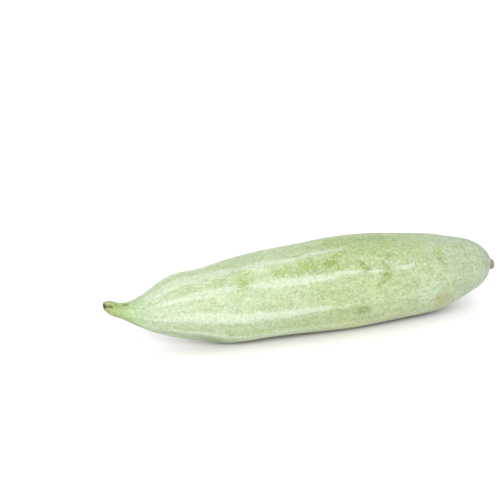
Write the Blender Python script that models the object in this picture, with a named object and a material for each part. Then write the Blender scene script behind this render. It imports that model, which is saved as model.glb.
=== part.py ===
"""A short snake gourd as picked, lying on its side: beak, ribbed body and cut stem in one solid.

Metres, +Z up. +X runs from the tip of the beak to the cut end of the stem. The gourd lies on a small
flat spot at z = 0, and the origin is the middle of its bounding box, at the bottom.
"""

import bmesh
import bpy
import numpy as np

MM = 0.001

# Driving dimensions, in millimetres and degrees. Each pair starts with the distance from the beak's tip.
RADII = (
    (0, 1.7), (3, 3.2), (8, 3.5), (12, 4.7), (16, 6.4), (21, 8.7), (27, 11.4), (35, 14.3), (45, 16.0),
    (57, 18.7), (72, 20.3), (92, 21.2), (120, 22.3), (150, 20.6), (168, 18.7), (182, 15.0), (193, 10.9),
    (200, 5.3), (203, 0.0),
)
# The middle of each round section: its height, with the beak turned up, and its drift towards +Y.
HEIGHTS = (
    (0, 26.1), (8, 22.7), (18, 20.6), (34, 21.7), (50, 20.6), (75, 21.4), (100, 21.9), (140, 21.6),
    (175, 20.4), (195, 20.6), (205, 19.0),
)
DRIFTS = ((0, 1.5), (15, 1.8), (60, -0.6), (110, -1.6), (160, -0.6), (205, 1.8))

# Ten low ribs run the whole length. Angles turn from straight down (0) by the -Y side (90) to the top (180).
RIB_ANGLES = (15.5, 47, 79.5, 118, 149, 187, 226, 265, 304, 343)
RIB_HEIGHT = 0.5
RIB_SPREAD = 6.5
# Share of their height that they lose between these distances, towards the stem.
RIB_FADE = 0.45
RIB_FADE_FROM, RIB_FADE_TO = 100, 180

# The cut stem: a short stub with a fillet at its root and a worn edge round the cut.
STEM_RADIUS = 2.9
STEM_ROOT, STEM_END = 202.0, 204.4
STEM_FILLET, STEM_EDGE = 0.6, 0.5

# The dried flower scar that ends the beak is a little button.
SCAR_RADIUS = 1.2
SCAR_DEPTH = 0.5

# How much of the underside is taken off, so that it lies on a flat spot and not on a line.
FLAT_DEPTH = 0.6

# Points round each ring, and rings along the body.
SIDES = 70
RINGS = 46

SKIN_COLOUR = (0.46, 0.60, 0.33, 1)
SKIN_ROUGHNESS = 0.42


def clear_scene():
    for thing in list(bpy.data.objects):
        bpy.data.objects.remove(thing, do_unlink=True)


def spline(stations, at):
    """The smoothest curve through the stations, read at the given distances.

    Each span is a cubic. The bends at the stations are what makes neighbouring cubics meet with one
    slope, one linear equation for each inner station, and both ends of the curve are left unbent.
    """
    x, y = np.array(stations, float).T
    span = np.diff(x)
    slope = np.diff(y) / span
    system = np.eye(len(x))
    inner = np.arange(1, len(x) - 1)
    system[inner, inner - 1] = span[:-1]
    system[inner, inner] = 2 * (span[:-1] + span[1:])
    system[inner, inner + 1] = span[1:]
    bend = np.linalg.solve(system, np.concatenate([[0], 6 * np.diff(slope), [0]]))
    i = np.clip(np.searchsorted(x, at) - 1, 0, len(span) - 1)
    after = (at - x[i]) / span[i]
    before = 1 - after
    bow = (before**3 - before) * bend[i] + (after**3 - after) * bend[i + 1]
    return before * y[i] + after * y[i + 1] + bow * span[i] ** 2 / 6


def body_radius(x):
    """Radius of the round section: its square is the smooth curve, so that the blunt end closes round."""
    squares = [(at, radius**2) for at, radius in RADII]
    return np.sqrt(np.maximum(spline(squares, x), 0))


def rib_rise(x, radius, turn):
    """How far the ribs lift the skin: a bell curve in the angle from each rib, half over and half under.

    They are lower where the gourd is thin, by the root of its radius, and fade towards the stem end.
    """
    off = (turn[None, :] - np.array(RIB_ANGLES)[:, None] + 180) % 360 - 180
    crest = np.exp(-((off / RIB_SPREAD) ** 2)).sum(axis=0)
    fade = np.clip((x - RIB_FADE_FROM) / (RIB_FADE_TO - RIB_FADE_FROM), 0, 1)
    height = RIB_HEIGHT * np.sqrt(radius / max(r for _, r in RADII)) * (1 - RIB_FADE * fade)
    return height[:, None] * (crest - 0.5)[None, :]


def body_rings():
    """Distance and radius of the body's rings, closer together towards both round ends.

    The distance follows half a cosine wave from the scar to the stem's root.
    """
    step = np.linspace(0, 1, RINGS)
    x = SCAR_DEPTH + (STEM_ROOT - SCAR_DEPTH) * (1 - np.cos(np.pi * step)) / 2
    return x, body_radius(x)


def stem_rings():
    """Distance and radius of the stub's rings, from its fillet to the worn edge of the cut."""
    x = np.array([STEM_ROOT + STEM_FILLET, STEM_END - STEM_EDGE, STEM_END])
    return x, np.array([STEM_RADIUS, STEM_RADIUS, STEM_RADIUS - STEM_EDGE])


def ring_points(x, radius, turn):
    """Rings of points in metres: out from the middle of the section by the radius, at each angle."""
    angle = np.radians(turn)[None, :]
    grid = np.empty(radius.shape + (3,))
    grid[..., 0] = x[:, None]
    grid[..., 1] = spline(DRIFTS, x)[:, None] - radius * np.sin(angle)
    grid[..., 2] = spline(HEIGHTS, x)[:, None] - radius * np.cos(angle)
    return grid * MM


def gourd_rings():
    """All rings from the flower scar to the cut of the stem, on one set of angles."""
    turn = np.arange(SIDES) * 360 / SIDES
    even = np.ones(SIDES)[None, :]
    body_x, body_r = body_rings()
    stem_x, stem_r = stem_rings()
    ribbed = body_r[:, None] + rib_rise(body_x, body_r, turn)
    scar = ring_points(np.array([0.0]), SCAR_RADIUS * even, turn)
    body = ring_points(body_x, ribbed, turn)
    stem = ring_points(stem_x, stem_r[:, None] * even, turn)
    return np.concatenate([scar, body, stem])


def skin_over(mesh, rings):
    """Joins each ring to the next with quads, and closes both ends with a fan round the middle."""
    corners = [[mesh.verts.new(point) for point in ring] for ring in rings]
    for ring, following in zip(corners, corners[1:]):
        for i in range(SIDES):
            j = (i + 1) % SIDES
            mesh.faces.new((ring[i], following[i], following[j], ring[j]))
    for ring, points, turned in ((corners[0], rings[0], True), (corners[-1], rings[-1], False)):
        middle = mesh.verts.new(points.mean(axis=0))
        for i in range(SIDES):
            j = (i + 1) % SIDES
            mesh.faces.new((middle, ring[i], ring[j]) if turned else (middle, ring[j], ring[i]))


def cut_flat_spot(mesh):
    """Takes off the lowest sliver, so that the gourd lies still, and closes the cut with one flat face."""
    lowest = min(v.co.z for v in mesh.verts)
    bmesh.ops.translate(mesh, verts=mesh.verts, vec=(0, 0, -lowest - FLAT_DEPTH * MM))
    everything = mesh.verts[:] + mesh.edges[:] + mesh.faces[:]
    ground = {"plane_co": (0, 0, 0), "plane_no": (0, 0, -1)}
    cut = bmesh.ops.bisect_plane(mesh, geom=everything, clear_outer=True, **ground)
    rim = [part for part in cut["geom_cut"] if isinstance(part, bmesh.types.BMEdge)]
    bmesh.ops.contextual_create(mesh, geom=rim)


def centre_on_origin(mesh):
    """Slides the gourd along the ground until its box stands evenly round the origin."""
    places = np.array([v.co[:] for v in mesh.verts])
    middle = (places.min(axis=0) + places.max(axis=0)) / 2
    bmesh.ops.translate(mesh, verts=mesh.verts, vec=(-middle[0], -middle[1], 0))


def skin_material():
    material = bpy.data.materials.new("gourd_skin")
    material.use_nodes = True
    shader = material.node_tree.nodes["Principled BSDF"]
    shader.inputs["Base Color"].default_value = SKIN_COLOUR
    shader.inputs["Roughness"].default_value = SKIN_ROUGHNESS
    shader.inputs["Metallic"].default_value = 0
    material.diffuse_color = SKIN_COLOUR
    return material


def make_gourd():
    shape = bmesh.new()
    skin_over(shape, gourd_rings())
    cut_flat_spot(shape)
    centre_on_origin(shape)
    bmesh.ops.recalc_face_normals(shape, faces=shape.faces)
    mesh = bpy.data.meshes.new("snake_gourd")
    shape.to_mesh(mesh)
    shape.free()
    mesh.shade_smooth()
    mesh.set_sharp_from_angle(angle=np.radians(40))
    mesh.materials.append(skin_material())
    gourd = bpy.data.objects.new("snake_gourd", mesh)
    bpy.context.collection.objects.link(gourd)


clear_scene()
make_gourd()
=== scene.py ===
# %% [markdown]
# # A short snake gourd on a pale floor
#
# A snake gourd is a climbing plant's fruit. It grows in one piece: a narrow green beak, where the flower
# was, a body shaped like a spindle with ten low ribs, and a cut stem. Its skin is thin, waxy and pale
# green. Whitish bands follow the ribs, and hundreds of small whitish specks lie between them.
#
# This lesson dresses a measured model of one. The measured model is a plain closed solid. Here its skin is
# worked out again on a much finer grid, from the same numbers, and painted, and the two ends of the fruit
# get pieces of their own.

import bpy
import numpy as np
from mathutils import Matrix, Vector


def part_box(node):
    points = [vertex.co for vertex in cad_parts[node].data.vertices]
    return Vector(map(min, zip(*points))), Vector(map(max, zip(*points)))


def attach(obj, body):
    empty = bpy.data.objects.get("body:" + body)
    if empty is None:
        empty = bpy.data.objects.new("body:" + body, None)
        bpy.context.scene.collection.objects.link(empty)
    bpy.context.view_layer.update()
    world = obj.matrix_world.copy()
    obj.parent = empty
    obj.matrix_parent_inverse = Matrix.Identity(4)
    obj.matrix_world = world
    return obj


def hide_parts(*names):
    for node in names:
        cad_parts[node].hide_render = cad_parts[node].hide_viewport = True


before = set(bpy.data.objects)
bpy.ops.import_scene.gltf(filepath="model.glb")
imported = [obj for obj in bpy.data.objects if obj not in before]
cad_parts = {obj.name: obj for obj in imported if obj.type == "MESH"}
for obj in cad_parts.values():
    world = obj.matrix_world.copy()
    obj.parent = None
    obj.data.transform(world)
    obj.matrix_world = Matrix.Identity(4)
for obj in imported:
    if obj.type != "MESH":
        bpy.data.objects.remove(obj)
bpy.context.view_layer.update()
LOW, HIGH = (np.array(corner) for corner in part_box("snake_gourd"))
print("measured gourd, mm:", np.round((HIGH - LOW) * 1000, 2))

# %% [markdown]
# ## The camera
#
# A long lens from eight tenths of a metre keeps the far end nearly as large as the near one. The camera
# stands 25 degrees round towards the beak and 16.5 degrees above the floor. A camera looks along its own
# -Z axis, so that axis is turned to the point it aims at.

# %% Camera
AIM = np.array([-0.02376, 0.01708, 0.03936])
CAMERA_DISTANCE = 0.8
CAMERA_TURN, CAMERA_RISE = np.radians(-25.0), np.radians(16.5)
LENS = 123.08


def direction(turn, rise):
    """Unit vector towards a place that is turned round the object from -Y and raised above the floor."""
    return np.array([np.sin(turn) * np.cos(rise), -np.cos(turn) * np.cos(rise), np.sin(rise)])


def look(thing, place, target):
    """Puts a camera or lamp at a place and turns its -Z axis to the target."""
    towards = Vector(target) - Vector(place)
    thing.location = place
    thing.rotation_mode = "QUATERNION"
    thing.rotation_quaternion = towards.to_track_quat("-Z", "Y")


camera = bpy.data.objects.new("camera", bpy.data.cameras.new("camera"))
camera.data.sensor_width = 36
camera.data.lens = LENS
camera.data.clip_start, camera.data.clip_end = 0.02, 50
look(camera, AIM + CAMERA_DISTANCE * direction(CAMERA_TURN, CAMERA_RISE), AIM)
bpy.context.collection.objects.link(camera)
bpy.context.scene.camera = camera
print("camera at", np.round(camera.location, 4))

# %% [markdown]
# ## The form of the fruit
#
# A lathe would turn a fruit that is too perfect, and sculpting one by hand could not be repeated. A grown
# spindle is drawn well by a few measured sections: how thick it is at some distances from the tip of the
# beak, how high the middle of each section lies, and how far it drifts sideways. A smooth curve through
# the stations gives every section between them. The ribs are soft bell curves at ten angles.

# %% The measured stations, in millimetres from the tip of the beak
MM = 0.001
RADII = (
    (0, 1.7), (3, 3.2), (8, 3.5), (12, 4.7), (16, 6.4), (21, 8.7), (27, 11.4), (35, 14.3), (45, 16.0),
    (57, 18.7), (72, 20.3), (92, 21.2), (120, 22.3), (150, 20.6), (168, 18.7), (182, 15.0), (193, 10.9),
    (200, 5.3), (203, 0.0),
)
HEIGHTS = (
    (0, 26.1), (8, 22.7), (18, 20.6), (34, 21.7), (50, 20.6), (75, 21.4), (100, 21.9), (140, 21.6),
    (175, 20.4), (195, 20.6), (205, 19.0),
)
DRIFTS = ((0, 1.5), (15, 1.8), (60, -0.6), (110, -1.6), (160, -0.6), (205, 1.8))
RIB_ANGLES = (15.5, 47, 79.5, 118, 149, 187, 226, 265, 304, 343)
RIB_HEIGHT, RIB_SPREAD = 0.5, 6.5
RIB_FADE, RIB_FADE_FROM, RIB_FADE_TO = 0.45, 100, 180
THICKEST = max(radius for _, radius in RADII)
FRUIT_LENGTH = 204.4  # to the cut end of the stem
print(FRUIT_LENGTH, "mm long,", 2 * THICKEST, "mm across,", len(RIB_ANGLES), "ribs")


# %% Sections between the stations
def spline(stations, at):
    """The smoothest curve through the stations, read at the given distances.

    Each span is a cubic. The bends at the stations make neighbouring cubics meet with one slope, one
    linear equation for each inner station, and both ends of the curve are left unbent.
    """
    x, y = np.array(stations, float).T
    span = np.diff(x)
    slope = np.diff(y) / span
    system = np.eye(len(x))
    inner = np.arange(1, len(x) - 1)
    system[inner, inner - 1] = span[:-1]
    system[inner, inner] = 2 * (span[:-1] + span[1:])
    system[inner, inner + 1] = span[1:]
    bend = np.linalg.solve(system, np.concatenate([[0], 6 * np.diff(slope), [0]]))
    i = np.clip(np.searchsorted(x, at) - 1, 0, len(span) - 1)
    after = (at - x[i]) / span[i]
    before = 1 - after
    bow = (before**3 - before) * bend[i] + (after**3 - after) * bend[i + 1]
    return before * y[i] + after * y[i + 1] + bow * span[i] ** 2 / 6


def body_radius(x):
    """Radius of the round section: its square is the smooth curve, so that the blunt end closes round."""
    squares = [(at, radius**2) for at, radius in RADII]
    return np.sqrt(np.maximum(spline(squares, x), 0))


def gap(turn, centre):
    """Angle from a centre line to a place, between -180 and 180 degrees."""
    return (turn - centre + 180) % 360 - 180


def rib_rise(x, radius, turn):
    """How far the ribs lift the skin: a bell curve in the angle from each rib, half over and half under."""
    crest = sum(np.exp(-((gap(turn, rib) / RIB_SPREAD) ** 2)) for rib in RIB_ANGLES)
    fade = np.clip((x - RIB_FADE_FROM) / (RIB_FADE_TO - RIB_FADE_FROM), 0, 1)
    return RIB_HEIGHT * np.sqrt(radius / THICKEST) * (1 - RIB_FADE * fade) * (crest - 0.5)


# %% [markdown]
# ## A grid over the skin
#
# The skin is a function of two numbers: the distance along the fruit and the angle round it, where 0 is
# straight down, 90 the near side and 180 the top. Both are kept as arrays that numpy spreads against each
# other: one column of distances, one row of angles. The distances are a mean of even steps and of half a
# cosine wave, so the rings lie closer together towards both round ends, where the form turns fastest.
# The body's own curve closes to a point, but the skin runs up the stem's root as a narrow collar, so the
# last rings get no thinner than that.

# %% The grid
ROUND, ALONG = 240, 400
SKIN_START, SKIN_END = 0.35, 202.75
COLLAR_FROM, COLLAR_RADIUS = 195, 2.75

turn = np.arange(ROUND)[None, :] * 360 / ROUND
even = np.linspace(0, 1, ALONG)
steps = (even + (1 - np.cos(np.pi * even)) / 2) / 2
along = (SKIN_START + (SKIN_END - SKIN_START) * steps)[:, None]
plain_radius = np.maximum(body_radius(along), np.where(along > COLLAR_FROM, COLLAR_RADIUS, 0))
widest_step = np.diff(along[:, 0]).max()
print("grid of", ALONG, "rings with", ROUND, "points, at most", np.round(widest_step, 2), "mm apart")

# %% [markdown]
# ## Small relief
#
# No fruit is as even as its sections, so some low relief is added to the radius before the points are
# placed. Bump in a material could only fake it, and it would be gone from the outline and from the
# exported mesh. First come lists of places: where the skin was knocked or scratched, and how the belly
# departs from round beside the line that the gourd lies on. It is drawn in there, and the neck is fuller.

# %% Where the skin is knocked, scratched, hollow or full
DENTS = (  # distance, angle, half length and half width in mm, depth in mm
    (163, 68, 5, 3, 0.3), (58, 153, 2.4, 1.6, 0.3), (104, 136, 5, 2.6, 0.16), (60, 131, 4, 4.5, 0.18),
    (164, 125, 2.6, 3, 0.14), (118, 71, 5, 2.4, 0.14), (96, 215, 6, 3.2, 0.25), (140, 262, 4, 2.4, 0.28),
    (71, 292, 5, 2.6, 0.18), (128, 330, 6, 3, 0.22), (45, 236, 3, 2, 0.2), (178, 190, 4, 3, 0.15),
)
STROKES = (  # from distance and angle to distance and angle, half width, depth, olive and dark paint
    (116.6, 137, 119.2, 129.5, 1.3, 0.06, 0.5, 0), (119.4, 128.5, 121.2, 121.5, 1.5, 0.14, 1.15, 0.06),
    (119.8, 123.5, 119.4, 119, 1, 0.04, 0.8, 0), (130.8, 127.5, 133.2, 114.5, 1.4, 0.1, 0.75, 0),
    (129.8, 112, 132.6, 112, 1.3, 0.06, 0.95, 0.05), (133.2, 111.5, 129, 104.5, 1.6, 0.05, 0.65, 0),
    (129, 105, 128.6, 103.2, 1.3, 0.08, 0.95, 0.08), (127.2, 102, 126.4, 99, 1.2, 0.06, 0.85, 0),
    (161.8, 129, 164.6, 119.6, 1.2, 0.1, 0.75, 0.05), (0.5, 102, 2.8, 114.5, 0.7, 0.2, 0.5, 1.1),
    (86, 248, 92, 244, 1.1, 0.08, 0.55, 0), (150, 282, 153, 291, 1.3, 0.08, 0.6, 0),
    (112, 318, 116, 311, 1, 0.1, 0.7, 0), (66, 200, 69, 211, 0.9, 0.08, 0.6, 0),
    (137, 206, 141, 201, 1, 0.08, 0.6, 0), (9.3, 155, 10.5, 158, 0.9, 0.1, 1.1, 0.45),
)
BELLY_HOLLOWS = (  # distance, depth in mm, below 0 where it is fuller
    (18, 0), (27, -0.4), (38, -0.75), (46, -0.5), (54, 0), (66, 0.55), (78, 0.85), (92, 0.85),
    (125, 0.45), (160, 0.4), (190, 0),
)
print(len(DENTS), "dents and", len(STROKES), "scratches")


# %% [markdown]
# A dent is a soft oval, and so is a stain of colour later on. A scratch is a soft line. Both are bell
# curves of how far a place on the skin is from them, so they have no hard edge and can overlap.


# %% Soft ovals and soft lines on the skin
def arc(centre):
    """Distance in mm along the section from a centre line: the angle between, in radians, by the radius."""
    return np.radians(gap(turn, centre)) * plain_radius


def spot(at, centre, half_length, half_width):
    """A soft oval: a bell curve of the distance from its middle, in half lengths and half widths."""
    return np.exp(-(((along - at) / half_length) ** 2) - (arc(centre) / half_width) ** 2)


def stroke(at, centre, to, end, half_width):
    """A soft line: a bell curve of the distance from the nearest point of a segment drawn on the skin."""
    scale = np.radians(1) * plain_radius
    reach_x, reach_y = to - at, gap(end, centre) * scale
    x, y = along - at, gap(turn, centre) * scale
    share = np.clip((x * reach_x + y * reach_y) / (reach_x**2 + reach_y**2), 0, 1)
    away = np.hypot(x - share * reach_x, y - share * reach_y)
    return np.exp(-((away / half_width) ** 2))


def fade_between(x, start, stop):
    """1 before start, 0 after stop, and a smooth S-curve between them."""
    share = np.clip((x - start) / (stop - start), 0, 1)
    return 1 - share**2 * (3 - 2 * share)


# %% [markdown]
# A swell of a tenth of a millimetre or so runs over the body in long waves. The skin of the beak is drawn
# into creases that run lengthwise, and shallower pleats gather round the stem, where the flesh stands up
# in an uneven shoulder. All of these are waves and bell curves too, with sizes given in millimetres.

# %% Swell, creases, belly and shoulder
SWELL, BEAK_CREASE, STEM_PLEAT = 0.03, 0.08, 0.035
SHOULDER_RISE, SHOULDER_SINK = 0.8, 1.8
BELLY_SIDE, BELLY_SPREAD = 19, 14


def swell():
    """Long waves over the skin, in mm: sines of the distance and of whole numbers of turns round it."""
    angle = np.radians(turn)
    waves = np.sin(along / 9.1 + 2 * angle) + 0.8 * np.sin(along / 6.3 - 3 * angle + 1.1)
    waves = waves + 0.6 * np.sin(along / 4.1 + 5 * angle + 2.3) + 0.5 * np.sin(along / 14.7 + angle)
    return SWELL * waves * np.sqrt(plain_radius / THICKEST)


def creases():
    """Lengthwise folds, in mm: sharpened cosines of the angle that fade away from the beak and the stem."""
    angle = np.radians(turn)
    beak = np.cos(6 * angle + 0.5) + 0.6 * np.cos(11 * angle + 1.7 + along / 4)
    stem = np.cos(9 * angle + 0.9) + 0.7 * np.cos(16 * angle + 2.0)
    near_beak, near_stem = fade_between(along, 6, 17), 1 - fade_between(along, 184, 200)
    return -BEAK_CREASE * np.abs(beak) * near_beak - STEM_PLEAT * np.abs(stem) * near_stem


def drawn_in():
    """How far the skin is drawn in on both sides of the lowest line, in mm, and below 0 where it is fuller.

    The depth runs straight between its stations. Round the fruit it is a bell curve of the angle from
    the belly's two sides, 19 degrees either way from the lowest line.
    """
    at, depth = np.array(BELLY_HOLLOWS).T
    off_side = (np.abs(gap(turn, 0)) - BELLY_SIDE) / BELLY_SPREAD
    return np.exp(-(off_side**2)) * np.interp(along, at, depth)


def shoulder():
    """The flesh round the stem's root, in mm: a bell curve above it, and a sunk one on its near side."""
    fuller = np.exp(-(((along - 198) / 4.5) ** 2) - (gap(turn, 168) / 48) ** 2)
    sunk = np.exp(-(((along - 200.6) / 2.0) ** 2) - (gap(turn, 86) / 40) ** 2)
    return SHOULDER_RISE * fuller - SHOULDER_SINK * sunk


# %% The radius with its relief
knocks = sum(depth * spot(*place) for *place, depth in DENTS)
scratches = sum(depth * stroke(*place) for *place, depth, _, _ in STROKES)
relief = swell() + creases() + shoulder() - drawn_in() - knocks - scratches
radius = plain_radius + rib_rise(along, plain_radius, turn) + relief
print("relief from", round(float(relief.min()), 2), "to", round(float(relief.max()), 2), "mm")

# %% [markdown]
# ## Laying the skin into the measured box
#
# The rings are placed round the middle line. Then the whole skin slides until its tip and its top lie
# where the measured model's do. Where the relief makes it wider than the measured box, it is squeezed
# sideways by a hair. What would hang below the floor is pressed flat, as the belly of a lying fruit is.


# %% Rings of points
def ring_points(x, out, angle_deg):
    """Points in mm: out from the middle of the section by the radius, at each angle."""
    angle = np.radians(angle_deg)
    grid = np.empty(np.broadcast(x, out, angle).shape + (3,))
    grid[..., 0] = x
    grid[..., 1] = spline(DRIFTS, x) - out * np.sin(angle)
    grid[..., 2] = spline(HEIGHTS, x) - out * np.cos(angle)
    return grid


skin_grid = ring_points(along, radius, turn)
measured_width = (HIGH - LOW)[1] / MM
side_low, side_high = skin_grid[..., 1].min(), skin_grid[..., 1].max()
SQUEEZE = min(1, measured_width / (side_high - side_low))
SHIFT = np.array([
    LOW[0] / MM, -SQUEEZE * (side_low + side_high) / 2, HIGH[2] / MM - skin_grid[..., 2].max()])


def into_frame(points):
    """Points from the fruit's millimetres into the frame's metres: squeezed, shifted, none below 0."""
    moved = points * np.array([1, SQUEEZE, 1]) + SHIFT
    moved[..., 2] = np.maximum(moved[..., 2], 0)
    return moved * MM


def closing_points(start, stop):
    """The two places on the middle line where the fans meet that close a piece's ends."""
    return into_frame(ring_points(np.array([start, stop]), np.zeros(2), np.zeros(2)))


skin_points = into_frame(skin_grid)
print("sideways squeeze", round(SQUEEZE, 4), "shift in mm", np.round(SHIFT, 3))

# %% [markdown]
# ## From a grid to a mesh
#
# One helper serves all three pieces. It joins each ring to the next with quads, closes both ends with a
# fan round a middle point, and lays a map over the piece with the angle across and the distance up. All of
# it is index arithmetic on whole arrays. Values that belong to the points, such as how much of a paint
# lies there, go in as named attributes, which a material can read. The map is laid a second time under
# the name OFBake, the one that the export's own bake looks for.


# %% Corner numbers of the faces
def ring_quads(rings, sides):
    """Corner numbers of the quads between rings: each point, the next ring's, its neighbour, and back."""
    ring, side = np.meshgrid(np.arange(rings - 1), np.arange(sides), indexing="ij")
    here, beside = ring * sides + side, ring * sides + (side + 1) % sides
    return np.stack([here, here + sides, beside + sides, beside], axis=-1).reshape(-1, 4)


def end_fan(first, sides, middle, start):
    """Corner numbers of the triangles that close one end: the middle and two neighbours on the ring."""
    side = np.arange(sides)
    one, other = first + side, first + (side + 1) % sides
    pair = (one, other) if start else (other, one)
    return np.stack([np.full(sides, middle), *pair], axis=-1)


# %% Map places of the corners
MAP_MARGIN, RING_MARGIN = 0.004, 0.01


def fan_map(sides, order, middle_height, ring_height):
    """Map places of one end's triangles: the middle half a step across, then the two on the ring."""
    side = np.arange(sides)
    across = np.stack([side + 0.5, side + order[0], side + order[1]], axis=-1) / sides
    up = np.broadcast_to([middle_height, ring_height, ring_height], (sides, 3))
    return np.stack([across, up], axis=-1).reshape(-1, 2)


def ring_map(rings, sides, heights):
    """Map places of every corner, in the order of the faces: angle across, distance up, inside a margin."""
    ring, side = np.meshgrid(np.arange(rings - 1), np.arange(sides), indexing="ij")
    across = np.stack([side, side, side + 1, side + 1], axis=-1) / sides
    up = np.stack([heights[ring], heights[ring + 1], heights[ring + 1], heights[ring]], axis=-1)
    quads = np.stack([across, up], axis=-1).reshape(-1, 2)
    start, stop = fan_map(sides, (0, 1), 0.0, heights[0]), fan_map(sides, (1, 0), 1.0, heights[-1])
    return MAP_MARGIN + (1 - 2 * MAP_MARGIN) * np.concatenate([quads, start, stop])


# %% The mesh maker
def add_paint(mesh, paint, amount):
    """Puts an amount at every point: its grid ring by ring, then each end ring's mean at the end points."""
    parts = amount.shape[2:] or (1,)
    end_means = amount[[0, -1]].reshape(2, -1, *parts).mean(axis=1)
    whole = np.concatenate([amount.reshape(-1, *parts), end_means]).astype(np.float32)
    kind, field_name = ("FLOAT_VECTOR", "vector") if parts == (3,) else ("FLOAT", "value")
    mesh.attributes.new(paint, kind, "POINT").data.foreach_set(field_name, whole.ravel())


def lathe_mesh(name, grid, closing, paints=None):
    """A closed mesh over rings of points, with both end points given, a map and named paint amounts."""
    rings, sides = grid.shape[:2]
    points = np.concatenate([grid.reshape(-1, 3), np.array(closing)])
    quads = ring_quads(rings, sides)
    first = end_fan(0, sides, rings * sides, True)
    last = end_fan((rings - 1) * sides, sides, rings * sides + 1, False)
    mesh = bpy.data.meshes.new(name)
    mesh.from_pydata(points, [], quads.tolist() + first.tolist() + last.tolist())
    step = np.linalg.norm(np.diff(grid, axis=0), axis=2).mean(axis=1)
    climb = np.concatenate([[0], np.cumsum(step)]) / step.sum()
    heights = RING_MARGIN + (1 - 2 * RING_MARGIN) * climb
    places = ring_map(rings, sides, heights)
    for map_name in ("skin", "OFBake"):
        mesh.uv_layers.new(name=map_name).data.foreach_set("uv", places.ravel())
    for paint, amount in (paints or {}).items():
        add_paint(mesh, paint, amount)
    mesh.shade_smooth()
    mesh.validate()
    piece = bpy.data.objects.new(name, mesh)
    bpy.context.collection.objects.link(piece)
    print(name, "has", sum(len(face.vertices) - 2 for face in mesh.polygons), "triangles")
    return piece


# %% [markdown]
# ## Where the paints lie
#
# A skin like this one is not one colour with noise on it. Each rib carries a whitish band that wanders,
# swells, breaks off and starts again. Between the bands lie greener and yellower fields, and there are
# olive bruises and tan scars. Some of the olive is painted shade on the underside, and some paler patches
# are painted light from the floor. Each of these is an amount at every point of the grid, worked out from a
# list: bands from stations along each rib, fields from soft ovals. The material roughens their edges
# later, so one or two ovals are enough for a patch.

# %% Bands along the ribs
BANDS = (  # for each rib: distance, angle of its middle, half width in mm, where less than 0 is a break
    ((13, 160, -0.2), (18, 158, 1.1), (24, 157, 2.1), (30, 156, 2.5), (40, 157, 2.8), (48, 157.5, 2.8),
     (54, 157, 2.1), (58, 155, 0.4), (62, 154, 0.5), (66, 153.5, 1.5), (75, 153.5, 1.7), (82, 151.5, 1.5),
     (87, 151, 1.1), (90, 151.5, 0.3), (93.2, 152.5, 1.2), (96, 154, 0.9), (99.5, 155.5, 1.3),
     (103, 155.5, 0.8), (112, 153, 0.3), (117, 152, -0.8), (203, 152, -1.5)),
    # the second band: from 100 to 148 mm its thin white pieces are also a painted highlight on the rib's
    # crest
    ((12, 112, -1), (20, 114, -0.2), (30, 119, 1), (38, 122, 1.4), (46, 125, 1.7), (53, 126.5, 1.6),
     (57, 126.5, 0.5), (60, 126.5, -0.9), (63.5, 126, 0.6), (67, 124.5, 1.9), (75, 122, 2),
     (85, 120, 1.9), (95, 119, 1.5), (102, 119.5, 1), (107, 121, 1.2), (112, 120.5, 1.3), (117, 119.5, 1),
     (119.5, 119, -0.5), (122.8, 118, 0.5), (125.5, 117.6, 0.9), (128.5, 117, 0.2), (130, 117, -0.9),
     (134.5, 117, -0.3), (136, 117.3, 0.6), (142, 118.6, 0.95), (147, 119.6, 0.6), (150.5, 120, -0.7),
     (203, 118, -1.5)),
    ((11, 80, -1), (17, 79, -0.2), (23, 79, 1), (30, 80, 2), (38, 81.5, 2.5), (45, 82, 2.6),
     (53, 83.5, 2.6), (60, 83, 2.4), (70, 81.5, 2.1), (80, 80.5, 1.9), (92, 81, 1.4), (102, 81, 0.6),
     (112, 82, 0.2), (117, 82.5, 0.3), (121, 82, -0.7), (203, 79, -1.5)),
    ((13, 46, -0.2), (20, 46, 0.8), (30, 47, 1.1), (45, 46, 1.2), (60, 48, 0.9), (80, 47, 0.6),
     (100, 46, 0.2), (112, 46, -0.7), (203, 46, -1.5)),
    ((13, 12, -1), (24, 12, -0.2), (35, 12, 0.4), (50, 13, 0.8), (66, 13, 0.5), (70, 13, -0.8),
     (75, 14, 0.8), (92, 17, 1.4), (110, 16, 0.6), (122, 16, -0.8), (203, 15, -1.5)),
    ((13, 186, -0.2), (20, 187, 0.9), (32, 188, 1.4), (48, 186, 1.3), (60, 187, 0.6), (72, 189, 0.9),
     (90, 187, 0.9), (104, 186, 0.1), (118, 187, -0.8), (203, 187, -1.5)),
    ((13, 226, -0.2), (19, 226, 1.2), (31, 224, 1.9), (46, 226, 2.3), (60, 228, 1.8), (68, 228, 0.4),
     (73, 227, -0.7), (78, 226, 1.1), (95, 225, 1.6), (112, 226, 1.2), (126, 227, 0.5), (134, 227, -0.9),
     (142, 226, 0.4), (151, 226, 0.5), (156, 226, -0.9), (203, 226, -1.5)),
    ((12, 264, -0.2), (18, 264, 1.1), (30, 266, 1.9), (47, 267, 2.1), (62, 264, 1.9), (80, 262, 1.6),
     (96, 264, 1.4), (106, 266, 0.4), (110, 266, -0.8), (115, 265, 0.6), (124, 265, 0.4),
     (132, 265, -0.9), (203, 265, -1.5)),
    ((12, 303, -0.2), (19, 303, 1), (33, 305, 1.7), (52, 304, 2), (66, 301, 1.6), (84, 303, 1.7),
     (100, 305, 1.1), (118, 304, 0.5), (127, 304, -0.8), (203, 304, -1.5)),
    ((13, 343, -0.2), (21, 343, 1), (36, 341, 1.7), (52, 343, 1.5), (57, 344, -0.6), (62, 344, 1),
     (80, 342, 1.4), (98, 344, 1), (110, 343, -0.6), (203, 343, -1.5)),
)


def band_inside(stations):
    """How deep a place lies inside a band, in mm: its half width there less the distance from its middle."""
    at, middle, half = np.array(stations, float).T
    x = along[:, 0]
    middle, half = (np.interp(x, at, values)[:, None] for values in (middle, half))
    return half - np.abs(np.radians(gap(turn, middle)) * plain_radius)


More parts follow.
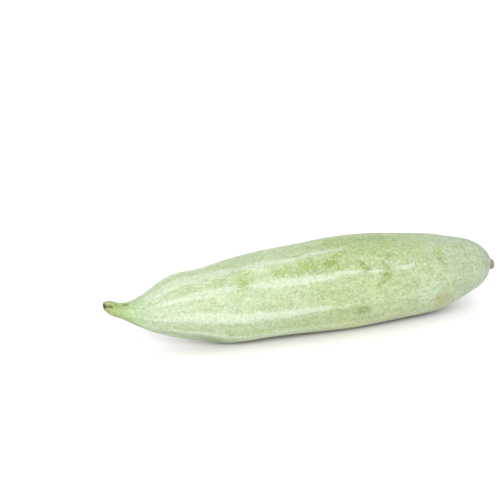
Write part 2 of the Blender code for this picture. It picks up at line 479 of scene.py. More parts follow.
band = np.max([band_inside(stations) for stations in BANDS], axis=0)
print("share of the skin inside a band:", round(float((band > 0).mean()), 3))

# %% [markdown]
# The bands start in the pale neck, where they run together, and beyond the middle of the fruit only thin
# pieces of them are left. The other paints are fields of soft ovals: a cool leaf green, a yellower sap
# green, olive bruises with painted shade on the underside, tan scars, and paler, cooler patches where the
# wax lies thick that, on the lower near flank, are also painted light from the white floor. Each list has
# the near side of the fruit first, in order of distance, and then the far side.

# %% Fields: distance, angle, half length and half width in mm, amount
LEAF = (
    (5, 30, 6, 2.5, 0.6), (46, 131, 4, 2.5, 0.45), (51, 139, 5, 3.4, 0.6), (60, 131, 3.4, 4.4, 0.85),
    (69, 138, 3, 2.5, 0.45), (76, 32, 8, 4, 0.4), (77.5, 130.5, 1.2, 0.9, 0.9), (118, 104, 6, 5, 0.2),
    (118.7, 71.5, 4.4, 2.1, 0.9), (150, 95, 18, 12, 0.1), (58, 322, 7, 4, 0.6), (66, 238, 6, 4, 0.6),
    (84, 282, 8, 5, 0.6), (100, 355, 10, 5, 0.4), (104, 250, 9, 4, 0.5), (124, 300, 9, 4, 0.4),
)
SAP = (
    (35, 137, 8, 3.2, 0.35), (40, 120, 5, 1.5, 0.7), (42, 167, 6, 3, 0.5), (57, 114, 4, 2.5, 0.7),
    (61.5, 131, 2.5, 4, 0.8), (64, 141, 3, 3, 0.85), (66, 173, 8, 3, 0.5), (69, 57, 12, 3.5, 0.5),
    (70, 170, 16, 4, 0.35), (74, 137, 4, 2.6, 0.3), (81, 135, 7, 3.4, 0.95), (87, 127, 4, 1.6, 0.6),
    (88, 132.5, 4, 3, 1), (88, 59, 14, 4, 0.55), (91.5, 136.5, 4, 3.4, 1.1), (92, 108, 9, 4, 0.35),
    (96.5, 136.5, 5, 3.8, 1), (100, 165, 14, 4, 0.4), (104, 137, 6.5, 5, 0.9), (105, 85, 4, 3, 0.5),
    (106, 62, 12, 5, 0.3), (107, 127, 4, 3, 1.1), (110, 147, 4, 3, 0.8), (113, 137, 5, 5, 0.55),
    (115, 82, 4, 3, 0.6), (116, 168, 14, 6, 0.9), (118, 132, 4, 3, 0.6), (120, 126, 2.5, 3, 0.65),
    (122, 153, 12, 5, 0.85), (126, 97, 3, 3, 0.55), (130, 141, 4, 3, 0.8), (131, 107, 3.5, 3.5, 0.75),
    (134, 140, 4, 3.5, 0.5), (134, 158, 14, 6, 0.85), (141, 138, 7, 4.5, 0.75), (144, 70, 9, 4, 0.3),
    (146, 166, 8, 4, 0.7), (148, 147, 5, 4, 0.8), (152, 135, 7, 7, 0.6), (152, 160, 10, 5, 0.55),
    (163, 134, 4, 3.5, 0.95), (165, 145, 4, 3, 0.6), (171, 100, 8, 5, 0.25), (52, 250, 8, 5, 0.4),
    (72, 318, 12, 6, 0.4), (92, 204, 12, 5, 0.5), (98, 285, 12, 6, 0.6), (112, 240, 12, 6, 0.5),
    (120, 345, 12, 6, 0.5),
)
# olive bruises, and painted shade: the ovals under the beak at 5.5, 9.5 and 13.2 mm, the one at 48 mm and 31
# degrees and the long one on the lowest line at 118 mm are painted shade near the floor, and the one on the
# top at 130 mm is partly painted shade from a gourd that lay on this one
OLIVE_AND_SHADE = (
    (1.6, 46, 1.1, 1.1, 0.8), (5.5, 138, 1.6, 1.1, 0.9), (5.5, 22, 3.2, 1.8, 1),
    (6.5, 120, 2.4, 0.8, 0.5), (9.5, 30, 3.2, 1.4, 1), (10, 170, 2.2, 2, 0.6), (13.2, 34, 3.2, 1.5, 0.8),
    (28, 42, 7, 2.6, 0.6), (48, 31, 7, 3, 0.5), (58, 170, 7, 2.2, 0.35), (58, 44, 5, 2.5, 0.3),
    (104, 136, 3.6, 2.1, 1.25), (107.8, 144, 2, 1.5, 0.9), (110, 148, 3.5, 1.6, 0.5),
    (114.5, 75, 2.6, 1.3, 0.7), (118, 0, 66, 5.6, 1.1), (118.6, 70, 4, 2.3, 1.3),
    (120.4, 124.5, 1.6, 1.5, 0.9), (130, 170, 16, 4, 0.6), (134.3, 134.8, 2.6, 1.5, 0.9),
    (138, 109, 3, 2.5, 0.35), (164, 125, 2.2, 2.4, 0.5), (71, 292, 4, 2, 0.5), (96, 215, 5, 2.6, 0.6),
    (128, 330, 5, 2.6, 0.6), (148, 236, 3, 3, 0.4),
)
TAN = (
    (1.6, 84, 1.8, 1.6, 0.8), (2, 150, 1.4, 1.4, 0.8), (58, 153, 1.6, 0.9, 0.9), (63, 170, 6, 2, 0.35),
    (104, 62, 10, 2, 0.2), (112, 104, 3, 2.4, 0.25), (136, 107, 3, 2.6, 0.25), (163, 68.5, 4.6, 2.6, 1.3),
    (163.5, 56, 4, 3, 0.9), (168.5, 65, 3, 3, 0.85), (45, 236, 2.4, 1.6, 0.7), (140, 262, 3.6, 2, 0.9),
    (178, 190, 4, 3, 0.4),
)
# paler, cooler patches: wax bloom, and on the lower near flank, from 40 to 100 degrees, also painted light
# from the white floor
WAX_BLOOM_AND_FLOOR_LIGHT = (
    (24, 144, 4, 2, 0.75), (44, 71, 6, 2, 0.5), (66, 92, 4, 3, 0.5), (70, 143, 5, 3, 0.6),
    (77, 64, 5, 2, 0.45), (79, 141, 3, 2, 0.5), (82, 74, 9, 2.5, 0.55), (91, 116, 4, 2, 0.5),
    (108, 51, 5, 3, 0.8), (120, 43, 10, 3, 0.7), (124, 112, 5, 3, 0.75), (126, 86, 5, 5, 0.75),
    (127, 66, 6, 3, 0.9), (132, 110, 4, 2.5, 0.7), (132, 50, 7, 3.5, 0.7), (137, 82, 4, 3, 0.5),
    (138, 71, 7, 3, 0.7), (146, 43, 6, 3, 0.5), (154, 96, 5, 5, 0.9), (155, 75, 5, 3.5, 1),
    (90, 300, 10, 5, 0.5), (130, 270, 8, 5, 0.5), (150, 230, 8, 5, 0.6),
)
print(sum(len(places) for places in (LEAF, SAP, OLIVE_AND_SHADE, TAN, WAX_BLOOM_AND_FLOOR_LIGHT)), "soft ovals")

# %% [markdown]
# Small marks come last: single dots, pale or olive, and the paint in the scratches. Along the line where
# the gourd touches what it lies on, painted contact shade darkens the skin. Beside that line the skin is
# paler than elsewhere, partly because the sun did not reach it and partly as painted bounce light from the
# white floor. The distance and the angle go along as amounts too, so that the material can tell the beak
# from the stem and draw strands that run together at the beak.

# %% Dots, and the painted shade along the line that the gourd lies on
PALE_DOTS = (  # distance, angle, half length, half width, amount
    (61, 107.5, 1.4, 1.2, 0.5), (72, 108.5, 1, 0.9, 0.5), (119.2, 82.5, 0.9, 0.7, 0.8),
    (138.2, 125.5, 0.8, 0.7, 0.9), (151.2, 80, 1.9, 0.6, 0.8), (153, 120.5, 0.8, 0.7, 0.9),
    (159.2, 94, 0.8, 0.7, 0.8), (163, 172, 0.9, 0.8, 0.8), (120, 284, 1, 0.8, 0.7),
    (132, 214, 1, 0.8, 0.8), (140, 350, 1, 0.8, 0.6), (146, 272, 1.2, 0.7, 0.7),
    (158, 318, 1.3, 0.8, 0.8),
)
OLIVE_DOTS = (  # distance, angle
    (24.5, 48.5), (57.8, 150.5), (81.2, 91), (82.8, 113.5), (84, 106.5), (95.2, 116), (112.8, 99.5),
    (113.5, 84.5), (118.8, 107.5), (118.8, 96.5), (127.8, 75), (138.8, 92), (144, 123), (145.5, 115.5),
    (153.8, 97), (69, 336), (75, 247), (88, 196), (93, 309), (103, 271), (117, 221), (134, 252),
    (139, 311), (152, 200),
)
# painted contact shade: the skin darkened along the lowest line, where the gourd lies on the floor
PAINTED_CONTACT_SHADE = (  # distance, angle, half length, half width, amount
    (27, 36, 8, 2.4, 0.1), (47, 25, 9, 3, 0.25), (74, 8, 30, 4.2, 0.35), (128, 9, 46, 5.2, 0.95),
)
print(len(PALE_DOTS), "pale and", len(OLIVE_DOTS), "olive dots")


# %% Amounts of every paint
def field(places):
    """All soft ovals of one paint: each point takes the strongest that reaches it."""
    return np.max([amount * spot(*place) for *place, amount in places], axis=0)


def belly_paleness_and_bounce_light():
    """How pale the belly is: slopes of the angle from its lowest line, times slopes of the distance."""
    # painted bounce light from the white floor, strongest just above the lowest line, with the fruit's own
    # paler unsunned side
    across = np.interp(np.abs(gap(turn, 0)), (13, 24, 32, 45, 62), (0, 1, 1, 0.5, 0))
    return across * np.interp(along, (10, 50, 62, 76, 98, 112, 150), (0, 0, 0.8, 1.2, 1.1, 0.7, 0.6))


def fan_places():
    """Places on a drum: the cosine and sine of the angle, and the distance in steps of 150 mm."""
    around = np.radians(turn) + 0 * along
    return np.stack([np.cos(around), np.sin(around), along / 150 + 0 * turn], axis=-1)


olive_dots = field([(*place, 0.8, 0.65, 0.85) for place in OLIVE_DOTS])
olive_lines = np.max([olive * stroke(*place) for *place, _, olive, _ in STROKES], axis=0)
dark_lines = np.max([dark * stroke(*place) for *place, _, _, dark in STROKES], axis=0)
paints = {
    "band": band,
    "leaf": field(LEAF),
    "sap": field(SAP),
    # olive bruises, flecks and scratch paint, with painted shade on the underside
    "olive": np.max([field(OLIVE_AND_SHADE), olive_dots, olive_lines], axis=0),
    "tan": field(TAN),
    # wax bloom, and painted floor light on the lower near flank
    "bloom_and_floor_light": field(WAX_BLOOM_AND_FLOOR_LIGHT),
    "pale": field(PALE_DOTS),
    # the dark scratches, and the painted contact shade along the lowest line
    "dark": np.maximum(field(PAINTED_CONTACT_SHADE), dark_lines),
    # paler belly: painted bounce light, and the fruit's unsunned side
    "belly": belly_paleness_and_bounce_light(),
    "distance": along + 0 * turn,
    "fan": fan_places(),
}
for name, amount in paints.items():
    print(name, "from", round(float(amount.min()), 2), "to", round(float(amount.max()), 2))

# %% [markdown]
# Now the skin can be made. The fans that close its two ends meet a little way inside it, so the beak's tip
# and the collar are shallow hollows. The flower scar and the stem's stub sit in them.

# %% The skin's mesh
TIP_HOLLOW, COLLAR_HOLLOW = 0.95, 202.4
skin = lathe_mesh("skin", skin_points, closing_points(TIP_HOLLOW, COLLAR_HOLLOW), paints)

# %% [markdown]
# ## Node helpers
#
# A material is a small drawing of boxes and wires. Written out box by box it is long and hard to read, so
# a few helpers make a box and wire it in one call. A value that is itself a socket is wired, and any other
# value is typed in.

# %% Colours as they look on a screen
STUDIO_LIGHT = 1.86


def plain(red, green, blue):
    """A colour as the lit fruit shows it on a screen, 0 to 255, turned into the paint that gives it.

    The screen's curve is undone first. What is left is the paint times the studio's light, which is
    brighter than a white surface needs, so it is divided by that light.
    """
    share = np.array([red, green, blue]) / 255
    linear = np.where(share > 0.04045, ((share + 0.055) / 1.055) ** 2.4, share / 12.92)
    return (*(linear / STUDIO_LIGHT), 1.0)


# %% Boxes and wires
def fill(tree, socket, value):
    """Wires a socket to a socket, or types a value in."""
    if isinstance(value, bpy.types.NodeSocket):
        tree.links.new(value, socket)
    else:
        socket.default_value = value


def box(tree, kind, settings=None, **values):
    """Makes a node, sets its options, and fills its inputs by name, with _ for a space."""
    node = tree.nodes.new("ShaderNode" + kind)
    for key, value in (settings or {}).items():
        setattr(node, key, value)
    for key, value in values.items():
        fill(tree, node.inputs[key.replace("_", " ")], value)
    return node


def calc(tree, operation, *values, clamp=False):
    """One step of arithmetic."""
    node = box(tree, "Math", {"operation": operation, "use_clamp": clamp})
    for socket, value in zip(node.inputs, values):
        fill(tree, socket, value)
    return node.outputs[0]


def mix(tree, amount, below, above, way="MIX"):
    """One colour laid over another by an amount."""
    node = box(tree, "Mix", {"data_type": "RGBA", "blend_type": way, "clamp_factor": True})
    for index, value in ((0, amount), (6, below), (7, above)):
        fill(tree, node.inputs[index], value)
    return node.outputs[2]


def edge(tree, value, start, stop):
    """0 before start, 1 after stop, with a smooth S-curve between them."""
    node = box(tree, "MapRange", {"interpolation_type": "SMOOTHSTEP"}, Value=value)
    node.inputs["From Min"].default_value = start
    node.inputs["From Max"].default_value = stop
    return node.outputs[0]


# %% Amounts, noise, new materials and coats
def amount_of(tree, name):
    """The amount of a paint that the mesh carries at each point."""
    return box(tree, "Attribute", {"attribute_name": name}).outputs["Fac"]


def noise(tree, place, scale, detail=2.0, rough=0.5):
    """Cloudy noise between 0 and 1, in cycles per metre."""
    cloud = box(tree, "TexNoise", Vector=place, Scale=scale, Detail=detail, Roughness=rough)
    return cloud.outputs["Fac"]


def new_material(name, **values):
    """An empty material with its shader, whose even values are typed on the shader itself."""
    material = bpy.data.materials.new(name)
    material.use_nodes = True
    tree = material.node_tree
    shader = tree.nodes["Principled BSDF"]
    for key, value in values.items():
        shader.inputs[key.replace("_", " ")].default_value = value
    return material, tree, shader


def coat(piece, material, colour, relief, strength, depth):
    """Lays a colour on a piece, with fine bump: the relief times the depth in metres, by the strength."""
    tree = material.node_tree
    shader = tree.nodes["Principled BSDF"]
    bump = box(tree, "Bump", Strength=strength, Distance=depth, Height=relief)
    fill(tree, shader.inputs["Base Color"], colour)
    fill(tree, shader.inputs["Normal"], bump.outputs[0])
    piece.data.materials.append(material)
    print(material.name, "has", len(tree.nodes), "nodes")


# %% [markdown]
# ## The waxy skin
#
# The paints go on in layers. First comes a ground colour that runs along the fruit, from the yellow-green
# beak through the pale neck to the greyer stem end, and is paler on the belly, partly as painted bounce
# light from the floor. Cloudy noise breaks it up, and strands run through the neck. The leaf, sap, tan and
# olive fields lie over it, with ragged edges, and the olive also lays painted shade on the underside. Then
# come the pale specks, small olive flecks, the bands and the pale dots. Last, a fine grit goes over
# everything, the wax blooms in places and paler patches give painted floor light on the lower flank, and
# the dark marks with the painted contact shade and the dry collar round the stem are laid on top. Patterns
# are read from object coordinates, and places from the amounts in the mesh, so nothing has a seam.

# %% Paints, as colours on a screen
GROUND = (  # distance, colour between the specks and the bands
    (0, (184, 194, 112)), (5, (189, 217, 138)), (10, (194, 223, 154)), (15, (194, 221, 163)),
    (22, (202, 226, 179)), (40, (208, 228, 179)), (62, (205, 227, 175)), (85, (204, 225, 177)),
    (108, (198, 217, 158)), (135, (204, 222, 164)), (158, (203, 221, 174)), (190, (196, 213, 172)),
    (204, (188, 202, 167)),
)
PALE_STRAND, GREY_STRAND = plain(230, 244, 211), plain(188, 206, 168)
LEAF_GREEN = plain(174, 209, 133)
SAP_GREEN = plain(174, 204, 114)
OLIVE_GREEN = plain(153, 176, 88)
TAN_SCAR = plain(190, 190, 122)
# the dark of the scratches, also used for the painted contact shade
DARK_MARK_AND_SHADE, DRY_COLLAR = plain(88, 98, 34), plain(146, 159, 130)
SPECK, FLECK = plain(230, 245, 205), plain(152, 177, 104)
BAND_WHITE = plain(233, 248, 215)
# painted bounce light: how much paler the belly is made where the floor lights it, with its unsunned side
BELLY_AND_BOUNCE_TINT = (1.68, 1.52, 1.80)  # how much paler the belly is, in red, green and blue
# paler and bluer: wax bloom, and painted floor light on the lower near flank
BLOOM_AND_FLOOR_LIGHT_TINT = (1.16, 1.14, 1.28)  # and the same where the wax lies thick
print("white of the bands, as paint:", np.round(BAND_WHITE[:3], 3))

# %% The ground colour along the fruit
skin_paint, tree, shader = new_material(
    "waxy_skin", Roughness=0.44, Specular_IOR_Level=0.45, Coat_Weight=0.10, Coat_Roughness=0.35)
place = box(tree, "TexCoord").outputs["Object"]
lengthwise = box(tree, "Mapping", Vector=place, Scale=(0.72, 1, 1)).outputs[0]
streaked = box(tree, "Mapping", Vector=place, Scale=(0.22, 1, 1)).outputs[0]
distance = amount_of(tree, "distance")

ramp = box(tree, "ValToRGB", Fac=calc(tree, "DIVIDE", distance, FRUIT_LENGTH))
stops = ramp.color_ramp.elements
while len(stops) < len(GROUND):
    stops.new(0.5)
for stop, (at, colour) in zip(stops, GROUND):
    stop.position = at / FRUIT_LENGTH
    stop.color = plain(*colour)
ground = ramp.outputs["Color"]
print("ground colour in", len(stops), "stops")

# %% [markdown]
# Noise multiplies the ground by a pair of tints, one a little under and one a little over one, so it shifts
# the ground and hardly changes its average. One cloud pattern is drawn out along the fruit, one is wide
# and turns from cool to warm, and one is fine. In the neck they are weaker, and pale and grey strands run
# out of the beak like a fan. The strands are read from the angle round the fruit, so they draw together
# where it is thin.


# %% Clouds
def tinted(colour, pattern, start, stop, under, over):
    """A colour multiplied by one tint where a pattern is low and by another where it is high."""
    tint = mix(tree, edge(tree, pattern, start, stop), (*under, 1), (*over, 1))
    return mix(tree, 1.0, colour, tint, "MULTIPLY")


# the belly made paler: painted bounce light from the white floor, and its own unsunned side
ground = tinted(ground, amount_of(tree, "belly"), 0, 1, (1, 1, 1), BELLY_AND_BOUNCE_TINT)
clouded = ground
for pattern, start, stop, under, over in (  # noise, its S-curve, tint where it is low and where it is high
        (noise(tree, streaked, 190, 3, 0.6), 0.38, 0.62, (0.92, 0.94, 0.90), (1.06, 1.05, 1.07)),
        (noise(tree, place, 75, 2), 0.36, 0.64, (0.965, 0.99, 1.015), (1.03, 1.0, 0.95)),
        (noise(tree, lengthwise, 430, 3, 0.6), 0.36, 0.64, (0.90, 0.915, 0.895), (1.07, 1.06, 1.07))):
    clouded = tinted(clouded, pattern, start, stop, under, over)
NECK_FROM, NECK_TO = 30, 62
cloudy = calc(tree, "MULTIPLY_ADD", edge(tree, distance, NECK_FROM, NECK_TO), 0.45, 0.55)
ground = mix(tree, cloudy, ground, clouded)
print("with clouds:", len(tree.nodes), "nodes")

# %% Strands in the neck, and the fields
fan = box(tree, "Attribute", {"attribute_name": "fan"}).outputs["Vector"]
in_neck = calc(tree, "MULTIPLY", edge(tree, distance, 78, 30), edge(tree, distance, 8, 20))
strands = noise(tree, fan, 22, 2, 0.5)
for start, stop, strength, colour in ((0.46, 0.62, 0.62, PALE_STRAND), (0.50, 0.36, 0.38, GREY_STRAND)):
    laid = calc(tree, "MULTIPLY", edge(tree, strands, start, stop), in_neck)
    ground = mix(tree, calc(tree, "MULTIPLY", laid, strength), ground, colour)

ragged = calc(tree, "SUBTRACT", noise(tree, lengthwise, 420, 4, 0.65), 0.5)
FIELD_PAINTS = (  # amount in the mesh, paint, how solid it gets
    ("leaf", LEAF_GREEN, 0.9), ("sap", SAP_GREEN, 0.85),
    ("tan", TAN_SCAR, 0.8), ("olive", OLIVE_GREEN, 0.85),
)
for name, colour, strength in FIELD_PAINTS:
    lies = calc(tree, "MULTIPLY_ADD", ragged, 0.8, amount_of(tree, name))
    ground = mix(tree, calc(tree, "MULTIPLY", edge(tree, lies, 0.12, 0.95), strength), ground, colour)
print("with strands and fields:", len(tree.nodes), "nodes")

# %% [markdown]
# A band is solid where the depth inside it, roughened by streaky and by fine noise, is more than nothing.
# The specks are balls round the feature points of a Voronoi pattern, and the skin cuts through them, so
# they come out in many sizes. A little noise pushes the pattern about, which makes them uneven. They swell
# near a band and towards the stem. In the neck they are faint, and the beak has none.

# %% How deep inside a band, and how large the specks are
SPECK_SCALE, SPECK_PUSH = 900, 0.0011
wobble = box(tree, "TexNoise", Vector=place, Scale=SPECK_SCALE, Detail=1).outputs["Color"]
pushed = box(tree, "VectorMath", {"operation": "MULTIPLY_ADD"})
for socket, value in zip(pushed.inputs, (wobble, (SPECK_PUSH,) * 3, lengthwise)):
    fill(tree, socket, value)
cells = box(
    tree, "TexVoronoi", {"feature": "F1"}, Vector=pushed.outputs[0], Scale=SPECK_SCALE, Randomness=1.0)
cell_pick = box(tree, "SeparateColor", Color=cells.outputs["Color"]).outputs[0]
streaks = calc(tree, "SUBTRACT", noise(tree, streaked, 700, 3, 0.6), 0.5)
crumbs = calc(tree, "SUBTRACT", noise(tree, lengthwise, 950, 2, 0.6), 0.5)
inside = calc(tree, "MULTIPLY_ADD", streaks, 2.6, amount_of(tree, "band"))
inside = calc(tree, "MULTIPLY_ADD", crumbs, 2.2, inside)
solid_band = edge(tree, inside, -0.6, 0.7)
near_band = edge(tree, inside, -2.6, 0.3)
near_stem = edge(tree, distance, 120, 190)
past_beak = edge(tree, distance, 11, 19)
# a random share of its own, then more near a band, and a little more near the stem
speck_size = calc(tree, "MULTIPLY_ADD", cell_pick, 0.36, 0.16)
speck_size = calc(tree, "MULTIPLY_ADD", near_band, 0.14, speck_size)
speck_size = calc(tree, "MULTIPLY_ADD", near_stem, 0.05, speck_size)
speck = edge(tree, calc(tree, "SUBTRACT", speck_size, cells.outputs["Distance"]), -0.24, 0.12)
speck = calc(tree, "MULTIPLY", speck, calc(tree, "MULTIPLY", past_beak, cloudy))

# %% [markdown]
# Small olive flecks gather in loose groups and in the sap green fields. The bands and the pale dots cover
# them, and a band is fainter in the neck and where it is worn in streaks.

# %% Specks, flecks, bands and dots
skin_colour = mix(tree, calc(tree, "MULTIPLY", speck, 0.50), ground, SPECK)
flecks = edge(tree, noise(tree, lengthwise, 620, 2, 0.5), 0.60, 0.70)
loose_groups = edge(tree, noise(tree, place, 130, 1), 0.42, 0.60)
grouped = calc(tree, "MAXIMUM", loose_groups, amount_of(tree, "sap"))
flecks = calc(tree, "MULTIPLY", calc(tree, "MULTIPLY", flecks, grouped), past_beak)
skin_colour = mix(tree, calc(tree, "MULTIPLY", flecks, 0.55), skin_colour, FLECK)
worn_band = calc(tree, "MULTIPLY_ADD", streaks, 0.9, 0.82, clamp=True)
past_neck = calc(tree, "MULTIPLY_ADD", edge(tree, distance, 16, 38), 0.4, 0.6)
worn_band = calc(tree, "MULTIPLY", worn_band, past_neck)
# the bands, with a painted highlight on the second band's crest from 100 to 148 mm
skin_colour = mix(tree, calc(tree, "MULTIPLY", solid_band, worn_band), skin_colour, BAND_WHITE)
skin_colour = mix(tree, edge(tree, amount_of(tree, "pale"), 0.2, 0.8), skin_colour, BAND_WHITE)
print("with specks, bands and dots:", len(tree.nodes), "nodes")

# %% Grit, bloom, dark marks and the dry collar
DRY_FROM, DRY_TO = 200.6, 201.6
grit = noise(tree, place, 850, 3, 0.65)
skin_colour = tinted(skin_colour, grit, 0.33, 0.67, (0.86, 0.875, 0.85), (1.10, 1.085, 1.11))
# wax bloom, and painted light from the white floor on the lower near flank
skin_colour = tinted(skin_colour, amount_of(tree, "bloom_and_floor_light"), 0.05, 1.0, (1, 1, 1), BLOOM_AND_FLOOR_LIGHT_TINT)
# dark scratches, and painted contact shade along the lowest line
skin_colour = mix(tree, amount_of(tree, "dark"), skin_colour, DARK_MARK_AND_SHADE)
skin_colour = mix(tree, edge(tree, distance, DRY_FROM, DRY_TO), skin_colour, DRY_COLLAR)

# %% [markdown]
# The wax leaves a dull sheen that differs from grain to grain, and the specks stand out a little.

# %% Roughness and fine bump
grain = noise(tree, lengthwise, 1150, 2, 0.55)
fill(tree, shader.inputs["Roughness"], calc(tree, "MULTIPLY_ADD", grain, 0.22, 0.34))
height = calc(tree, "MULTIPLY_ADD", speck, 0.35, calc(tree, "MULTIPLY", grain, 0.5))
coat(skin, skin_paint, skin_colour, height, 0.35, 0.00012)

# %% [markdown]
# ## The cut stem
#
# The stem was cut off close to the fruit. It is a five-sided bundle of fibres, drier and duller than the
# skin, and its cut face has dried hollow. A plain cylinder would miss the ridges, so the stub is a
# profile, the distance and radius of each ring, with the ridges and fibres added as waves round it. It
# starts well below the skin, inside the collar, so no gap can show.

# %% The stub
STUB_SIDES = 120
CUT_FROM = 203.7
STUB_FOOT, CUT_MIDDLE = 199.6, 204.0
STUB_PROFILE = (  # distance, radius, share of the ridges
    (199.6, 1.8, 0.2), (200.6, 2.3, 0.4), (201.4, 2.5, 0.6), (202, 2.6, 0.8), (202.5, 2.66, 1),
    (203, 2.68, 1), (203.3, 2.62, 1), (203.6, 2.52, 1), (203.85, 2.36, 1), (204.05, 2.14, 1),
    (204.22, 1.9, 0.9), (204.34, 1.66, 0.8), (204.39, 1.46, 0.7), (204.36, 1.28, 0.5), (204.26, 1.1, 0.4),
    (204.18, 0.9, 0.3), (204.14, 0.65, 0.2), (204.1, 0.4, 0.1), (204.02, 0.2, 0),
)


def profile_columns(profile, sides):
    """A profile's distances, radii and shares as columns, with a row of angles round it, in degrees."""
    columns = (column[:, None] for column in np.array(profile, float).T)
    return *columns, np.arange(sides)[None, :] * 360 / sides


def stub_grid():
    """Rings of the stub: the profile's radius with five ridges and finer fibres, all cosines of the angle.

    The cut face is worn unevenly: sines of the angle move its rings along, up to the stem's end.
    """
    x, out, share, angle_deg = profile_columns(STUB_PROFILE, STUB_SIDES)
    angle = np.radians(angle_deg)
    fibres = 0.045 * np.cos(17 * angle + 1.0) + 0.03 * np.cos(31 * angle + x)
    ridges = 0.13 * np.cos(5 * angle + 0.6) + fibres
    worn = 0.05 * np.sin(3 * angle + 0.4) + 0.04 * np.sin(7 * angle + 2)
    worn_x = np.minimum(x + worn * share * (x > CUT_FROM), FRUIT_LENGTH)
    return ring_points(worn_x, out + ridges * share, angle_deg)


stub = lathe_mesh("stem_stub", into_frame(stub_grid()), closing_points(STUB_FOOT, CUT_MIDDLE))

# %% [markdown]
# The stub is corky grey-green, stained in places and paler towards its cut end. Noise that is drawn out
# along the stem gives the fibres.

# %% The stub's finish
RIM_FROM, RIM_TO = 0.1008, 0.1018  # metres along X in the frame
cork, tree, _ = new_material("dry_stem", Roughness=0.8, Specular_IOR_Level=0.25)
place = box(tree, "TexCoord").outputs["Object"]
drawn_out = box(tree, "Mapping", Vector=place, Scale=(0.15, 1, 1)).outputs[0]
fibres = noise(tree, drawn_out, 2600, 3, 0.6)
stains = noise(tree, place, 700, 3, 0.6)
colour = mix(tree, edge(tree, fibres, 0.35, 0.65), plain(154, 167, 140), plain(182, 192, 167))
colour = mix(tree, edge(tree, stains, 0.52, 0.72), colour, plain(164, 166, 138))
rim = box(tree, "SeparateXYZ", Vector=place).outputs[0]
colour = mix(tree, edge(tree, rim, RIM_FROM, RIM_TO), colour, plain(196, 203, 182))
coat(stub, cork, colour, fibres, 0.6, 0.0002)

# %% [markdown]
# ## The dried flower scar
#
# The flower sat on the tip of the beak. What is left is a dark, dry button with a lobed rim and a small
# nub in the middle, where the style broke off. It is made in the same way as the stub, as a profile with
# waves round it, and sits in the hollow end of the skin.

# %% The scar
SCAR_SIDES = 96
NUB_MIDDLE, SCAR_FOOT = 0.01, 1.0
SCAR_PROFILE = (  # distance, radius, share of the lobes
    (1, 0.7, 0), (0.75, 1.02, 0.3), (0.5, 1.14, 0.7), (0.28, 1.16, 1), (0.12, 1.1, 1), (0.04, 0.98, 1),
    (0.08, 0.86, 1), (0.22, 0.76, 0.8), (0.32, 0.62, 0.5), (0.34, 0.48, 0.3), (0.26, 0.38, 0.1),
    (0.12, 0.3, 0), (0.05, 0.2, 0), (0.02, 0.1, 0),
)


def scar_grid():
    """Rings of the scar from its face to its back: the profile's radius with lobes and notches.

    Both are cosines of the angle, five lobes and thirteen notches, and the rim curls back with the lobes.
    """
    x, out, share, angle_deg = profile_columns(SCAR_PROFILE[::-1], SCAR_SIDES)
    angle = np.radians(angle_deg)
    lobes = 0.07 * np.cos(5 * angle + 0.3) + 0.03 * np.cos(13 * angle + 1.2)
    curl = 0.05 * (1 + np.cos(5 * angle + 0.3)) * share
    return ring_points(np.maximum(x + curl, 0), out + lobes * share, angle_deg)


scar = lathe_mesh("flower_scar", into_frame(scar_grid()), closing_points(NUB_MIDDLE, SCAR_FOOT))

# %% [markdown]
# The husk is a dull, dark olive, lighter in some of its crumbs, and fine bump makes it rough.

# %% The scar's finish
husk, tree, _ = new_material("dry_flower_scar", Roughness=0.85, Specular_IOR_Level=0.2)
place = box(tree, "TexCoord").outputs["Object"]
crumbs = noise(tree, place, 3200, 4, 0.65)
colour = mix(tree, edge(tree, crumbs, 0.35, 0.7), plain(84, 94, 50), plain(126, 134, 84))
coat(scar, husk, colour, crumbs, 0.7, 0.0002)

# %% [markdown]
# ## The stage
#
# The gourd lies on a white floor that runs out to nothing, as on a product table. The white has a trace of
# violet, which takes back some of the green that the fruit throws on it. A white sky gives light from all
# sides, and less of it near the horizon, which keeps the flanks from going flat. One wide, low lamp stands
# on the camera's side, so the near flank is the brightest part. The screen keeps its plain curve, the one
# that the paints were worked out for.

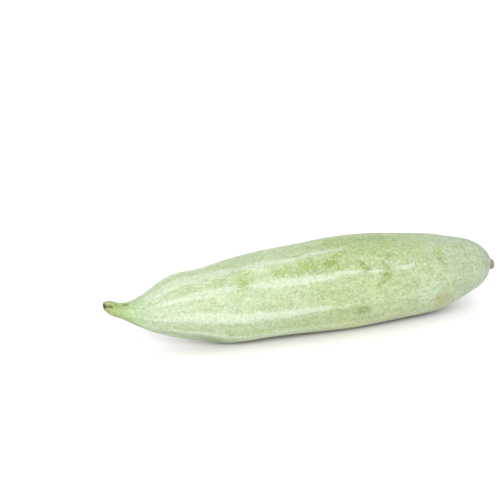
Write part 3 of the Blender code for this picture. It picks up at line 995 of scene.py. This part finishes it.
# %% Floor
FLOOR_REACH, FLOOR_DROP = 6.0, 0.00003
FLOOR_PAINT = (0.90, 0.89, 0.91, 1)
floor_mesh = bpy.data.meshes.new("floor")
square = ((-1, -1), (1, -1), (1, 1), (-1, 1))
corners = [(x * FLOOR_REACH, y * FLOOR_REACH, -FLOOR_DROP) for x, y in square]
floor_mesh.from_pydata(corners, [], [(0, 1, 2, 3)])
floor = bpy.data.objects.new("floor", floor_mesh)
bpy.context.collection.objects.link(floor)
paper, tree, shader = new_material("white_table", Roughness=0.7, Specular_IOR_Level=0.2)
shader.inputs["Base Color"].default_value = FLOOR_PAINT
floor_mesh.materials.append(paper)
print("floor", 2 * FLOOR_REACH, "m wide")

# %% Sky
SKY_LOW, SKY_HIGH, SKY_FULL_FROM = 0.45, 1.10, 0.35
world = bpy.data.worlds.new("white_sky")
bpy.context.scene.world = world
world.use_nodes = True
sky = world.node_tree
rise = box(sky, "SeparateXYZ", Vector=box(sky, "TexCoord").outputs["Generated"]).outputs[2]
glow = box(sky, "MapRange", Value=rise)
glow.inputs["From Max"].default_value = SKY_FULL_FROM
glow.inputs["To Min"].default_value, glow.inputs["To Max"].default_value = SKY_LOW, SKY_HIGH
fill(sky, sky.nodes["Background"].inputs["Strength"], glow.outputs[0])
sky.nodes["Background"].inputs["Color"].default_value = (1, 1, 1, 1)
print("sky from", SKY_LOW, "at the horizon to", SKY_HIGH, "above")

# %% Lamp and screen
LAMP_SIZE, LAMP_POWER = (2.4, 0.9), 80
LAMP_TURN, LAMP_RISE, LAMP_DISTANCE = np.radians(-30), np.radians(27), 3.0
LAMP_AIM = (0, 0, 0.02)

lamp = bpy.data.objects.new("near_softbox", bpy.data.lights.new("near_softbox", "AREA"))
lamp.data.shape = "RECTANGLE"
lamp.data.size, lamp.data.size_y = LAMP_SIZE
lamp.data.energy = LAMP_POWER
look(lamp, LAMP_DISTANCE * direction(LAMP_TURN, LAMP_RISE), LAMP_AIM)
bpy.context.collection.objects.link(lamp)

screen = bpy.context.scene.view_settings
screen.view_transform = "Standard"
screen.look = "None"
screen.exposure = 0
screen.gamma = 1
print("lamp at", np.round(lamp.location, 2))

# %% [markdown]
# ## Joining the pieces to the measured model
#
# The three pieces stand for the one measured solid and ride on the one body, and the measured solid is
# hidden.

# %% Ride and replace
for piece in (skin, stub, scar):
    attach(piece, "root")
    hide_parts("snake_gourd")
